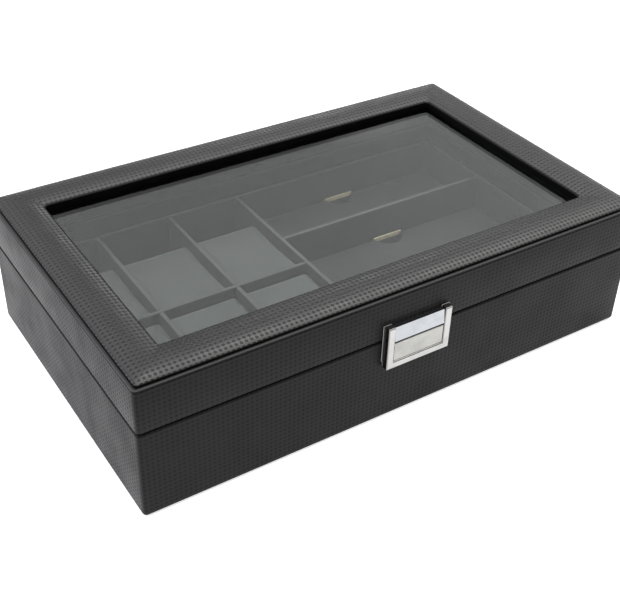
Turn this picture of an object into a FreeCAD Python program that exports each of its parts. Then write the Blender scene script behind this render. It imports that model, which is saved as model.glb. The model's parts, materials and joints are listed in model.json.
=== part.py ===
import FreeCAD, Part
import Sketcher
import os

# A leather-covered watch and glasses box: wooden base and lid carcass, window lid,
# lined compartments, lift-out cushions and mats, two butt hinges and a push clasp.
# Origin: middle of the underside. +X along the front, +Y to the rear, +Z up. Millimetres.

SIZES = {
    # Overall
    "box_width": 330.0,
    "box_depth": 200.0,
    "base_top": 55.5,
    "seam_gap": 0.8,
    "lid_rise": 27.3,
    "corner_radius": 2.5,
    # Carcass
    "wall": 8.5,
    "skin": 0.8,
    "felt_thickness": 1.0,
    "felt_inset": 4.0,
    "bottom_thickness": 8.6,
    # Lining tray and dividers
    "tray_gap": 0.2,
    "tray_wall": 2.5,
    "tray_floor_thickness": 1.5,
    "tray_top": 42.2,
    "divider": 2.5,
    "lap_gap": 0.1,
    "watch_slot_width": 47.1,
    # Watch cushions
    "cushion_side_gap": 0.4,
    "cushion_length": 60.0,
    "cushion_height": 25.9,
    "cushion_crown": 1.5,
    "cushion_draw": 0.4,
    "cushion_bulge": 0.3,
    "cushion_foot": 3.0,
    # Glasses mats with finger notch and ribbon tab
    "mat_gap": 0.6,
    "mat_thickness": 10.0,
    "mat_round": 1.5,
    "notch_radius": 9.6,
    "notch_offset": 2.0,
    "tab_width": 22.0,
    "tab_thickness": 1.0,
    "tab_rise": 0.2,
    "tab_drop": 3.4,
    # Lid frame
    "frame_width": 25.4,
    "board_thickness": 2.0,
    "rim_lip": 2.2,
    "cover_edge_rise": 1.6,
    "cover_crown_rise": 3.5,
    "cover_inner_rise": 1.6,
    "glass_thickness": 3.0,
    "glass_overlap": 10.0,
    "retainer_width": 9.7,
    "retainer_height": 5.0,
    # Hinges
    "hinge_end_distance": 65.0,
    "hinge_length": 30.0,
    "knuckle_gap": 0.2,
    "barrel_radius": 2.2,
    "barrel_clearance": 0.4,
    "pin_radius": 1.0,
    "pin_head_radius": 1.6,
    "pin_head_length": 0.6,
    "running_gap": 0.05,
    "leaf_depth": 8.0,
    "screw_spread": 18.0,
    "screw_radius": 0.8,
    "screw_head_radius": 1.5,
    "screw_head_depth": 0.6,
    "screw_length": 9.0,
    "drill_gap": 0.05,
    # Clasp
    "clasp_width": 42.5,
    "clasp_bottom": 38.8,
    "clasp_arm_top": 66.5,
    "clasp_bar": 4.5,
    "clasp_plate": 1.0,
    "clasp_ear": 1.0,
    "clasp_ear_low": 42.8,
    "clasp_ear_gap": 0.3,
    "clasp_depth": 3.9,
    "clasp_bevel": 0.6,
    "panel_gap": 0.15,
    "panel_set_back": 0.6,
    "panel_round": 0.4,
    "button_thickness": 2.2,
    "button_top_gap": 0.2,
    "catch_top_gap": 0.8,
    "catch_slope": 0.7,
    "catch_lip_width": 10.0,
    "catch_lip_drop": 1.5,
    "catch_lip_thickness": 0.6,
    "catch_lip_gap": 0.2,
    "lip_notch_depth": 1.2,
    "prong_radius": 1.0,
    "prong_spread": 20.0,
    "prong_length": 6.0,
    "plate_screw_spread": 26.0,
    "plate_screw_length": 7.0,
    "spring_length": 18.0,
    "spring_width": 5.0,
    "spring_leaf": 0.25,
    "spring_air": 0.1,
}

doc = FreeCAD.newDocument("watch_box")
sheet = doc.addObject("Spreadsheet::Sheet", "sizes")
for row, (alias, number) in enumerate(SIZES.items(), 1):
    sheet.set(f"A{row}", alias)
    sheet.set(f"B{row}", str(number))
    sheet.setAlias(f"B{row}", alias)
doc.recompute()

nodes = []


def size(alias):
    return f"sizes.{alias}"


def plus(*terms):
    return "(" + " + ".join(terms) + ")"


def minus(first, *others):
    return "(" + " - ".join((first,) + others) + ")"


def half(term):
    return f"({term} / 2)"


def negative(term):
    return f"(-{term})"


def value(expression):
    return float(sheet.evalExpression(expression))


def finish(thing, label):
    """Marks a document object as a sub-part under its own label."""
    thing.Label = label
    nodes.append(thing)
    return thing


def bind_box(box, low, high):
    for side, axis, start, end in zip(("Length", "Width", "Height"), "xyz", low, high):
        box.setExpression(side, minus(end, start))
        box.setExpression(f"Placement.Base.{axis}", start)
    return box


def block(name, low, high):
    return bind_box(doc.addObject("Part::Box", name), low, high)


def cylinder(name, radius, length, start, direction):
    """A round bar from a start point along a direction."""
    bar = doc.addObject("Part::Cylinder", name)
    bar.Placement.Rotation = FreeCAD.Rotation(FreeCAD.Vector(0, 0, 1), direction)
    bar.setExpression("Radius", radius)
    bar.setExpression("Height", length)
    for axis, place in zip("xyz", start):
        bar.setExpression(f"Placement.Base.{axis}", place)
    return bar


def cone(name, radius_low, radius_high, length, start, direction):
    taper = doc.addObject("Part::Cone", name)
    taper.Placement.Rotation = FreeCAD.Rotation(FreeCAD.Vector(0, 0, 1), direction)
    taper.setExpression("Radius1", radius_low)
    taper.setExpression("Radius2", radius_high)
    taper.setExpression("Height", length)
    for axis, place in zip("xyz", start):
        taper.setExpression(f"Placement.Base.{axis}", place)
    return taper


def gather(name, shapes):
    group = doc.addObject("Part::Compound", name)
    group.Links = shapes
    return group


def cut(name, base, tools):
    result = doc.addObject("Part::Cut", name)
    result.Base = base
    result.Tool = tools[0] if len(tools) == 1 else gather(f"{name}_tools", tools)
    return result


def fuse(name, shapes):
    result = doc.addObject("Part::MultiFuse", name)
    result.Shapes = shapes
    result.Refine = True
    return result


def round_edges(body, base, radius, picks_edge):
    """Rounds the edges of a body's feature that a test on edge middle and direction picks."""
    doc.recompute()
    names = []
    for number, edge in enumerate(base.Shape.Edges, 1):
        middle = edge.valueAt((edge.FirstParameter + edge.LastParameter) / 2)
        along = (edge.Vertexes[-1].Point - edge.Vertexes[0].Point)
        if picks_edge(middle, along):
            names.append(f"Edge{number}")
    fillet = body.newObject("PartDesign::Fillet", f"{body.Name}_round")
    fillet.Base = (base, names)
    fillet.setExpression("Radius", radius)
    return fillet


def is_upright(along):
    return abs(along.z) > abs(along.x) + abs(along.y)


def rounded_block(name, low, high, radius, picks_place):
    """A block in a body of its own, with the chosen upright corners rounded."""
    body = doc.addObject("PartDesign::Body", name)
    solid = body.newObject("PartDesign::AdditiveBox", f"{name}_block")
    bind_box(solid, low, high)
    round_edges(body, solid, radius, lambda middle, along: is_upright(along) and picks_place(middle))
    return body


def origin_plane(body, role):
    return next(plane for plane in body.Origin.OriginFeatures if plane.Role == role)


def outline(body, name, role, corners, bows=None, offset="0"):
    """A closed sketch whose corners, and the middles of whose bowed sides, follow the sizes."""
    bows = bows or {}
    sketch = body.newObject("Sketcher::SketchObject", name)
    sketch.AttachmentSupport = [(origin_plane(body, role), "")]
    sketch.MapMode = "FlatFace"
    sketch.setExpression("AttachmentOffset.Base.z", offset)
    places = [FreeCAD.Vector(value(x), value(y), 0) for x, y in corners]
    for index, start in enumerate(places):
        end = places[(index + 1) % len(places)]
        if index in bows:
            through = FreeCAD.Vector(value(bows[index][0]), value(bows[index][1]), 0)
            sketch.addGeometry(Part.Arc(start, through, end))
        else:
            sketch.addGeometry(Part.LineSegment(start, end))
    ends = [side_ends(sketch, index, places[index]) for index in range(len(places))]
    for index, (first, _) in enumerate(ends):
        following = (index + 1) % len(places)
        joined = Sketcher.Constraint("Coincident", index, ends[index][1], following, ends[following][0])
        sketch.addConstraint(joined)
        pin_point(sketch, index, first, corners[index], places[index])
    for index, (x, y) in bows.items():
        through = FreeCAD.Vector(value(x), value(y), 0)
        mark = sketch.addGeometry(Part.Point(through), True)
        pin_point(sketch, mark, 1, (x, y), through)
        sketch.addConstraint(Sketcher.Constraint("PointOnObject", mark, 1, index))
    return sketch


def side_ends(sketch, index, start):
    """Which end of a side is its first: arcs may run either way round."""
    near = (sketch.getPoint(index, 1) - start).Length
    return (1, 2) if near < 1e-6 else (2, 1)


def pin_point(sketch, geometry, end, expressions, place):
    for kind, expression, number in zip(("DistanceX", "DistanceY"), expressions, (place.x, place.y)):
        index = sketch.addConstraint(Sketcher.Constraint(kind, -1, 1, geometry, end, number))
        sketch.setExpression(f"Constraints[{index}]", expression)


def pad(body, sketch, length, midplane=False, turned=False):
    feature = body.newObject("PartDesign::Pad", f"{sketch.Name}_pad")
    feature.Profile = sketch
    feature.Midplane = midplane
    feature.Reversed = turned
    feature.setExpression("Length", length)
    return feature


X = FreeCAD.Vector(1, 0, 0)
Y = FreeCAD.Vector(0, 1, 0)
UP = FreeCAD.Vector(0, 0, 1)
DOWN = FreeCAD.Vector(0, 0, -1)

# Planes that several pieces share
side = half(size("box_width"))
front = half(size("box_depth"))
wall_out_x = minus(side, size("skin"))
wall_out_y = minus(front, size("skin"))
wall_in_x = minus(wall_out_x, size("wall"))
wall_in_y = minus(wall_out_y, size("wall"))
wall_corner = minus(size("corner_radius"), size("skin"))
base_low = size("felt_thickness")
base_wall_low = plus(base_low, size("skin"))
base_wall_top = minus(size("base_top"), size("skin"))
bottom_top = plus(base_low, size("bottom_thickness"))
lid_low = plus(size("base_top"), size("seam_gap"))
lid_wall_low = plus(lid_low, size("skin"))
rim = plus(lid_low, size("lid_rise"))
board_top = minus(rim, size("skin"))
board_low = minus(board_top, size("board_thickness"))
window_x = minus(side, size("frame_width"))
window_y = minus(front, size("frame_width"))
glass_low = minus(board_low, size("glass_thickness"))
glass_x = plus(window_x, size("glass_overlap"))
glass_y = plus(window_y, size("glass_overlap"))
retainer_low = minus(glass_low, size("retainer_height"))
tray_out_x = minus(wall_in_x, size("tray_gap"))
tray_out_y = minus(wall_in_y, size("tray_gap"))
tray_in_x = minus(tray_out_x, size("tray_wall"))
tray_in_y = minus(tray_out_y, size("tray_wall"))
floor = plus(bottom_top, size("tray_floor_thickness"))

# Hinges
hinge_y = plus(front, size("barrel_clearance"), size("barrel_radius"))
hinge_z = plus(size("base_top"), half(size("seam_gap")))
bore_radius = plus(size("pin_radius"), size("running_gap"))
leaf_front = minus(front, size("leaf_depth"))
screw_y = minus(front, half(size("leaf_depth")))
hinge_reach = minus(side, size("hinge_end_distance"))
hinge_places = {"left": negative(hinge_reach), "right": hinge_reach}


def screw(name, place, direction, length, gap):
    """A countersunk screw with its head flush at a place, or with a gap, the hole for it."""
    shank = plus(size("screw_radius"), gap)
    head = plus(size("screw_head_radius"), gap)
    parts = [
        cone(f"{name}_head", head, shank, size("screw_head_depth"), place, direction),
        cylinder(f"{name}_shank", shank, plus(length, gap), place, direction),
    ]
    return fuse(name, parts)


def hinge_leaf_screws(name, centre, leaf_face, direction, gap):
    reach = half(size("screw_spread"))
    return [
        screw(f"{name}_{word}", (spot, screw_y, leaf_face), direction, size("screw_length"), gap)
        for word, spot in (("a", minus(centre, reach)), ("b", plus(centre, reach)))
    ]


def hinge_leaf(name, centre, leaf_low, leaf_high, leaf_face, direction, knuckles):
    """One leaf: a plate let into the rim, with its share of the three knuckles."""
    third = f"({size('hinge_length')} / 3)"
    start = minus(centre, half(size("hinge_length")))
    reach = half(size("hinge_length"))
    end = plus(centre, reach)
    shapes = [block(f"{name}_plate", (start, leaf_front, leaf_low), (end, front, leaf_high))]
    for number in knuckles:
        near = plus(start, f"{number} * {third}", half(size("knuckle_gap")))
        far = minus(plus(near, third), size("knuckle_gap"))
        root = minus(front, size("skin"))
        shapes.append(block(f"{name}_tongue_{number}", (near, root, leaf_low), (far, hinge_y, leaf_high)))
        axle = (near, hinge_y, hinge_z)
        shapes.append(cylinder(f"{name}_barrel_{number}", size("barrel_radius"), minus(far, near), axle, X))
    bore = cylinder(f"{name}_bore", bore_radius, size("hinge_length"), (start, hinge_y, hinge_z), X)
    holes = hinge_leaf_screws(f"{name}_hole", centre, leaf_face, direction, size("drill_gap"))
    return finish(cut(name, fuse(f"{name}_solid", shapes), [bore] + holes), name)


def hinge_pin(name, centre):
    reach = half(size("hinge_length"))
    start = minus(centre, reach)
    head = size("pin_head_length")
    head_radius = size("pin_head_radius")
    shapes = [
        cylinder(f"{name}_bar", size("pin_radius"), size("hinge_length"), (start, hinge_y, hinge_z), X),
        cylinder(f"{name}_head_a", head_radius, head, (minus(start, head), hinge_y, hinge_z), X),
        cylinder(f"{name}_head_b", head_radius, head, (plus(centre, reach), hinge_y, hinge_z), X),
    ]
    return finish(fuse(name, shapes), name)


def leaf_notches(name, low, high):
    """The room that the two leaves take in a rim's covering."""
    reach = plus(half(size("hinge_length")), size("drill_gap"))
    return [
        block(
            f"{name}_{word}",
            (minus(centre, reach), minus(leaf_front, size("drill_gap")), low),
            (plus(centre, reach), plus(front, size("skin")), high),
        )
        for word, centre in hinge_places.items()
    ]


def build_hinges():
    base_screws = []
    lid_screws = []
    for word, centre in hinge_places.items():
        base_leaf = (base_wall_top, size("base_top"), size("base_top"), DOWN, (0, 2))
        lid_leaf = (lid_low, lid_wall_low, lid_low, UP, (1,))
        hinge_leaf(f"hinge_{word}_base_leaf", centre, *base_leaf)
        hinge_leaf(f"hinge_{word}_lid_leaf", centre, *lid_leaf)
        hinge_pin(f"hinge_{word}_pin", centre)
        base_screws += hinge_leaf_screws(f"screw_base_{word}", centre, size("base_top"), DOWN, "0")
        lid_screws += hinge_leaf_screws(f"screw_lid_{word}", centre, lid_low, UP, "0")
    finish(gather("hinge_base_screws", base_screws), "hinge_base_screws")
    finish(gather("hinge_lid_screws", lid_screws), "hinge_lid_screws")


def rear_wall_drillings(name, leaf_face, direction):
    drillings = []
    for word, centre in hinge_places.items():
        drillings += hinge_leaf_screws(f"{name}_{word}", centre, leaf_face, direction, size("drill_gap"))
    return drillings


# Clasp, on the front face across the seam
clasp_face = negative(front)
plate_face = minus(clasp_face, size("clasp_plate"))
housing_face = minus(plate_face, size("clasp_depth"))
clasp_side = half(size("clasp_width"))
panel_side = minus(clasp_side, size("clasp_bar"), size("panel_gap"))
panel_face = plus(housing_face, size("panel_set_back"))
button_back = plus(panel_face, size("button_thickness"))
button_low = plus(size("clasp_bottom"), size("clasp_bar"), size("panel_gap"))
button_top = minus(size("base_top"), size("button_top_gap"))
catch_low = plus(lid_low, size("button_top_gap"))
catch_top = minus(size("clasp_arm_top"), size("catch_top_gap"))
prong_z = half(plus(catch_low, catch_top))
prong_places = (("a", negative(half(size("prong_spread")))), ("b", half(size("prong_spread"))))
plate_screw_z = half(plus(button_low, button_top))
plate_screw_reach = half(size("plate_screw_spread"))
plate_screw_places = (("a", negative(plate_screw_reach)), ("b", plate_screw_reach))


def prongs(name, gap):
    radius = plus(size("prong_radius"), gap)
    reach = plus(size("prong_length"), gap)
    return [
        cylinder(f"{name}_{word}", radius, reach, (x, clasp_face, prong_z), Y)
        for word, x in prong_places
    ]


def plate_screws(name, gap):
    length = size("plate_screw_length")
    return [
        screw(f"{name}_{word}", (x, plate_face, plate_screw_z), Y, length, gap)
        for word, x in plate_screw_places
    ]


def build_clasp():
    """The back plate has an ear at each side, which stands beside the lid's catch, clear of the lid."""
    plate = block(
        "clasp_plate_blank",
        (negative(clasp_side), plate_face, size("clasp_bottom")),
        (clasp_side, clasp_face, size("base_top")),
    )
    inner = minus(clasp_side, size("clasp_bar"))
    outer = plus(clasp_side, size("clasp_ear"))
    ear_back = minus(clasp_face, size("clasp_ear_gap"))
    ear_low = size("clasp_ear_low")
    ear_top = size("clasp_arm_top")
    ears = [
        block(f"clasp_ear_{word}", (near, plate_face, ear_low), (far, ear_back, ear_top))
        for word, near, far in (("left", negative(outer), negative(inner)), ("right", inner, outer))
    ]
    holes = plate_screws("plate_hole", size("drill_gap"))
    finish(cut("clasp_back_plate", fuse("clasp_plate_solid", [plate] + ears), holes), "clasp_back_plate")
    finish(gather("clasp_screws", plate_screws("plate_screw", "0")), "clasp_screws")
    build_clasp_housing()
    build_clasp_button()
    build_clasp_catch()
    build_clasp_spring()


def build_clasp_housing():
    """A U-shaped frame with two arms that stand beside the lid's catch."""
    body = doc.addObject("PartDesign::Body", "clasp_housing")
    inner = minus(clasp_side, size("clasp_bar"))
    sill = plus(size("clasp_bottom"), size("clasp_bar"))
    corners = [
        (negative(clasp_side), size("clasp_bottom")),
        (clasp_side, size("clasp_bottom")),
        (clasp_side, size("clasp_arm_top")),
        (inner, size("clasp_arm_top")),
        (inner, sill),
        (negative(inner), sill),
        (negative(inner), size("clasp_arm_top")),
        (negative(clasp_side), size("clasp_arm_top")),
    ]
    sketch = outline(body, "clasp_housing_outline", "XZ_Plane", corners, offset=negative(plate_face))
    frame = pad(body, sketch, size("clasp_depth"))
    doc.recompute()
    face = value(housing_face)
    names = [
        f"Edge{number}"
        for number, edge in enumerate(frame.Shape.Edges, 1)
        if all(abs(vertex.Y - face) < 1e-6 for vertex in edge.Vertexes)
    ]
    bevel = body.newObject("PartDesign::Chamfer", "clasp_housing_bevel")
    bevel.Base = (frame, names)
    bevel.setExpression("Size", size("clasp_bevel"))
    finish(body, "clasp_housing")


def build_clasp_button():
    """The push panel below the seam, with room behind its top edge for the catch's lip."""
    body = doc.addObject("PartDesign::Body", "clasp_button_panel")
    solid = body.newObject("PartDesign::AdditiveBox", "clasp_button_block")
    bind_box(solid, (negative(panel_side), panel_face, button_low), (panel_side, button_back, button_top))
    face = value(panel_face)
    round_edges(body, solid, size("panel_round"), lambda middle, along: abs(middle.y - face) < 1e-6)
    lip_side = plus(half(size("catch_lip_width")), size("panel_gap"))
    lip_low = minus(lid_low, size("catch_lip_drop"), size("button_top_gap"))
    notch = block(
        "clasp_button_notch",
        (negative(lip_side), minus(button_back, size("lip_notch_depth")), lip_low),
        (lip_side, plus(button_back, size("skin")), plus(button_top, size("skin"))),
    )
    finish(cut("clasp_button", body, [notch]), "clasp_button")


def build_clasp_catch():
    """The lid's half: a panel with a sloped face, a lip behind the button and two prongs in the wall."""
    body = doc.addObject("PartDesign::Body", "clasp_catch_panel")
    corners = [
        (clasp_face, catch_low),
        (panel_face, catch_low),
        (plus(panel_face, size("catch_slope")), catch_top),
        (clasp_face, catch_top),
    ]
    sketch = outline(body, "clasp_catch_outline", "YZ_Plane", corners)
    pad(body, sketch, f"2 * {panel_side}", midplane=True)
    lip_side = half(size("catch_lip_width"))
    lip_front = plus(button_back, size("catch_lip_gap"))
    lip = block(
        "clasp_catch_lip",
        (negative(lip_side), lip_front, minus(lid_low, size("catch_lip_drop"))),
        (lip_side, plus(lip_front, size("catch_lip_thickness")), plus(catch_low, size("skin"))),
    )
    finish(fuse("clasp_catch", [body, lip] + prongs("catch_prong", "0")), "clasp_catch")


def build_clasp_spring():
    """A bowed leaf between the back plate and the button."""
    body = doc.addObject("PartDesign::Body", "clasp_leaf_spring")
    reach = half(size("spring_length"))
    near = minus(plate_face, size("spring_air"))
    bowed = plus(button_back, size("spring_air"))
    leaf = size("spring_leaf")
    corners = [
        (negative(reach), near),
        (negative(reach), minus(near, leaf)),
        (reach, minus(near, leaf)),
        (reach, near),
    ]
    bows = {1: ("0", bowed), 3: ("0", plus(bowed, leaf))}
    low = minus(plate_screw_z, half(size("spring_width")))
    sketch = outline(body, "clasp_spring_outline", "XY_Plane", corners, bows, low)
    pad(body, sketch, size("spring_width"))
    finish(body, "clasp_leaf_spring")


def build_walls(name, low, top, front_holes, rear_holes):
    """Four butt-jointed boards: front and rear run the full width, the sides stand between them.

    Gives back the boards before drilling, for the covering to fit round.
    """
    boards = []
    for word, y_low, y_high, holes in (
        ("front", negative(wall_out_y), negative(wall_in_y), front_holes),
        ("rear", wall_in_y, wall_out_y, rear_holes),
    ):
        outer = value(y_low if word == "front" else y_high)
        board = rounded_block(
            f"{name}_{word}_board",
            (negative(wall_out_x), y_low, low),
            (wall_out_x, y_high, top),
            wall_corner,
            lambda middle: abs(middle.y - outer) < 1e-6,
        )
        finish(cut(f"{name}_{word}_wall", board, holes), f"{name}_{word}_wall")
        boards.append(board)
    for word, x_low, x_high in (
        ("left", negative(wall_out_x), negative(wall_in_x)),
        ("right", wall_in_x, wall_out_x),
    ):
        wall = block(f"{name}_{word}_wall", (x_low, negative(wall_in_y), low), (x_high, wall_in_y, top))
        boards.append(finish(wall, f"{name}_{word}_wall"))
    return boards


def build_base():
    boards = build_walls(
        "base",
        base_wall_low,
        base_wall_top,
        plate_screws("front_wall_drilling", size("drill_gap")),
        rear_wall_drillings("base_wall_drilling", size("base_top"), DOWN),
    )
    panel = block(
        "base_bottom_panel",
        (negative(wall_in_x), negative(wall_in_y), base_low),
        (wall_in_x, wall_in_y, bottom_top),
    )
    finish(panel, "base_bottom_panel")
    felt_x = minus(side, size("felt_inset"))
    felt_y = minus(front, size("felt_inset"))
    felt = block("base_felt", (negative(felt_x), negative(felt_y), "0"), (felt_x, felt_y, base_low))
    finish(felt, "base_felt")
    skin = rounded_block(
        "base_wrap_blank",
        (negative(side), negative(front), base_low),
        (side, front, size("base_top")),
        size("corner_radius"),
        lambda middle: True,
    )
    hollow = block(
        "base_wrap_hollow",
        (negative(wall_in_x), negative(wall_in_y), "0"),
        (wall_in_x, wall_in_y, lid_low),
    )
    notches = leaf_notches("base_notch", base_wall_top, lid_low)
    drillings = plate_screws("base_wrap_drilling", size("drill_gap"))
    room = fuse("base_wrap_room", boards + [hollow] + notches + drillings)
    finish(cut("base_wrap", skin, [room]), "base_wrap")


def build_tray():
    tray_floor = block(
        "tray_floor",
        (negative(tray_out_x), negative(tray_out_y), bottom_top),
        (tray_out_x, tray_out_y, floor),
    )
    finish(tray_floor, "tray_floor")
    for word, x_low, x_high in (
        ("left", negative(tray_out_x), negative(tray_in_x)),
        ("right", tray_in_x, tray_out_x),
    ):
        low = (x_low, negative(tray_out_y), floor)
        high = (x_high, tray_out_y, size("tray_top"))
        finish(block(f"tray_{word}_wall", low, high), f"tray_{word}_wall")
    for word, y_low, y_high in (
        ("front", negative(tray_out_y), negative(tray_in_y)),
        ("rear", tray_in_y, tray_out_y),
    ):
        low = (negative(tray_in_x), y_low, floor)
        high = (tray_in_x, y_high, size("tray_top"))
        finish(block(f"tray_{word}_wall", low, high), f"tray_{word}_wall")


# Compartments, from the left: three watch columns, then the glasses bays
slot_pitch = plus(size("watch_slot_width"), size("divider"))
slot_left = [plus(negative(tray_in_x), f"{column} * {slot_pitch}") for column in range(3)]
slot_right = [plus(left, size("watch_slot_width")) for left in slot_left]
bay_left = plus(slot_right[2], size("divider"))
bay_depth = f"((2 * {tray_in_y} - 2 * {size('divider')}) / 3)"
bay_pitch = plus(bay_depth, size("divider"))
bay_front = [plus(negative(tray_in_y), f"{bay} * {bay_pitch}") for bay in range(3)]
lap_height = half(plus(floor, size("tray_top")))
lap_half = plus(half(size("divider")), size("lap_gap"))


def build_dividers():
    half_divider = half(size("divider"))
    cross = block(
        "watch_cross_blank",
        (negative(tray_in_x), negative(half_divider), floor),
        (slot_right[2], half_divider, size("tray_top")),
    )
    cross_slots = []
    for word, right in zip(("left", "right"), slot_right):
        board = block(
            f"watch_divider_{word}_board",
            (right, negative(tray_in_y), floor),
            (plus(right, size("divider")), tray_in_y, size("tray_top")),
        )
        slot = block(
            f"watch_divider_{word}_slot",
            (minus(right, size("skin")), negative(lap_half), lap_height),
            (plus(right, size("divider"), size("skin")), lap_half, rim),
        )
        finish(cut(f"watch_divider_{word}", board, [slot]), f"watch_divider_{word}")
        cross_slots.append(
            block(
                f"watch_cross_slot_{word}",
                (minus(right, size("lap_gap")), negative(front), "0"),
                (plus(right, size("divider"), size("lap_gap")), front, lap_height),
            )
        )
    finish(cut("watch_cross_divider", cross, cross_slots), "watch_cross_divider")
    centre = block(
        "centre_divider",
        (slot_right[2], negative(tray_in_y), floor),
        (bay_left, tray_in_y, size("tray_top")),
    )
    finish(centre, "centre_divider")
    for word, start in (("front", bay_front[0]), ("rear", bay_front[1])):
        y_low = plus(start, bay_depth)
        board = block(
            f"glasses_divider_{word}",
            (bay_left, y_low, floor),
            (tray_in_x, plus(y_low, size("divider")), size("tray_top")),
        )
        finish(board, f"glasses_divider_{word}")


def cushion_section(body, name, offset, side_reach, height):
    """A cross-section: flat foot, sides that swell a little and a crowned top."""
    foot = minus(side_reach, size("cushion_foot"))
    shoulder = minus(height, size("cushion_crown"))
    middle = half(shoulder)
    swell = plus(side_reach, size("cushion_bulge"))
    corners = [
        (negative(foot), "0"),
        (foot, "0"),
        (side_reach, shoulder),
        (negative(side_reach), shoulder),
    ]
    bows = {1: (minus(swell, size("cushion_draw")), middle), 2: ("0", height)}
    bows[3] = (negative(minus(swell, size("cushion_draw"))), middle)
    return outline(body, name, "XZ_Plane", corners, bows, offset)


def build_cushions():
    """Each cushion is lofted from a lower, wider end over a crowned, drawn-in waist to the other end."""
    reach = half(size("cushion_length"))
    side_reach = minus(half(size("watch_slot_width")), size("cushion_side_gap"), size("cushion_bulge"))
    waist = minus(side_reach, size("cushion_draw"))
    low_end = minus(size("cushion_height"), size("cushion_crown"))
    middle_y = plus(half(size("divider")), size("cushion_side_gap"), reach)
    number = 0
    for y in (middle_y, negative(middle_y)):
        for left, right in zip(slot_left, slot_right):
            number += 1
            name = f"watch_cushion_{number}"
            body = doc.addObject("PartDesign::Body", name)
            first = cushion_section(body, f"{name}_near", reach, side_reach, low_end)
            waist_section = cushion_section(body, f"{name}_waist", "0", waist, size("cushion_height"))
            last = cushion_section(body, f"{name}_far", negative(reach), side_reach, low_end)
            doc.recompute()
            loft = body.newObject("PartDesign::AdditiveLoft", f"{name}_loft")
            loft.Profile = first
            loft.Sections = [waist_section, last]
            body.setExpression("Placement.Base.x", half(plus(left, right)))
            body.setExpression("Placement.Base.y", y)
            body.setExpression("Placement.Base.z", floor)
            finish(body, name)


def build_mats():
    """Lift-out floors of the glasses bays: a half-round finger notch with a ribbon tab across its mouth."""
    mat_top = plus(floor, size("mat_thickness"))
    centre = plus(half(plus(bay_left, tray_in_x)), size("notch_offset"))
    for number, start in enumerate(bay_front, 1):
        name = f"glasses_mat_{number}"
        rear = minus(plus(start, bay_depth), size("mat_gap"), size("tab_thickness"))
        body = doc.addObject("PartDesign::Body", name)
        left = plus(bay_left, size("mat_gap"))
        right = minus(tray_in_x, size("mat_gap"))
        near = plus(start, size("mat_gap"))
        corners = [
            (left, near),
            (right, near),
            (right, rear),
            (plus(centre, size("notch_radius")), rear),
            (minus(centre, size("notch_radius")), rear),
            (left, rear),
        ]
        bows = {3: (centre, minus(rear, size("notch_radius")))}
        sketch = outline(body, f"{name}_outline", "XY_Plane", corners, bows, floor)
        board = pad(body, sketch, size("mat_thickness"))
        top = value(mat_top)
        round_edges(body, board, size("mat_round"), lambda middle, along: abs(middle.z - top) < 1e-6)
        finish(body, name)
        tab_half = half(size("tab_width"))
        low = (minus(centre, tab_half), rear, minus(mat_top, size("tab_drop")))
        high = (plus(centre, tab_half), plus(rear, size("tab_thickness")), plus(mat_top, size("tab_rise")))
        finish(block(f"pull_tab_{number}", low, high), f"pull_tab_{number}")


def frame_profile(body, name, role, outer, low, inset, inner_low):
    """Section of the lid's padded frame, inset by the cover's thickness for the foam below it."""
    start = plus(negative(outer), size("rim_lip"), inset)
    end = minus(plus(negative(outer), size("frame_width")), inset)
    corners = [
        (start, low),
        (start, minus(plus(low, size("cover_edge_rise")), inset)),
        (end, minus(plus(rim, size("cover_inner_rise")), inset)),
        (end, inner_low),
    ]
    crown = minus(plus(rim, size("cover_crown_rise")), inset)
    bows = {1: (half(plus(start, end)), crown)}
    return outline(body, name, role, corners, bows)


def mitre(name, outer_along, outer_across, turn):
    """A wedge whose two ends are cut at 45 degrees, standing over one side of the frame."""
    wedge = doc.addObject("Part::Wedge", name)
    wedge.Placement.Rotation = FreeCAD.Rotation(FreeCAD.Vector(0, 0, 1), turn)
    reach = minus(outer_along, plus(size("frame_width"), size("frame_width")))
    depth = plus(size("frame_width"), size("frame_width"))
    for prop, expression in (
        ("Xmin", negative(outer_along)),
        ("Xmax", outer_along),
        ("Ymin", negative(outer_across)),
        ("Ymax", plus(negative(outer_across), depth)),
        ("X2min", negative(reach)),
        ("X2max", reach),
        ("Zmin", "0"),
        ("Z2min", "0"),
        ("Zmax", f"2 * {rim}"),
        ("Z2max", f"2 * {rim}"),
    ):
        wedge.setExpression(prop, expression)
    return wedge


def frame_sides(name, inset, low, inner_low):
    """Front and left sides of a mitred frame, and their mirror images at the rear and right."""
    sides = {}
    for word, role, outer_along, outer_across, turn, normal in (
        ("front", "YZ_Plane", side, front, 0, Y),
        ("left", "XZ_Plane", front, side, -90, X),
    ):
        body = doc.addObject("PartDesign::Body", f"{name}_{word}_bar")
        sketch = frame_profile(body, f"{name}_{word}_section", role, outer_across, low, inset, inner_low)
        pad(body, sketch, f"2 * {outer_along}", midplane=True)
        bar = doc.addObject("Part::Common", f"{name}_{word}")
        bar.Base = body
        bar.Tool = mitre(f"{name}_{word}_mitre", outer_along, outer_across, turn)
        mirror = doc.addObject("Part::Mirroring", f"{name}_{word}_mirror")
        mirror.Source = bar
        mirror.Normal = normal
        sides[word] = bar
        sides["rear" if word == "front" else "right"] = mirror
    return sides


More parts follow.
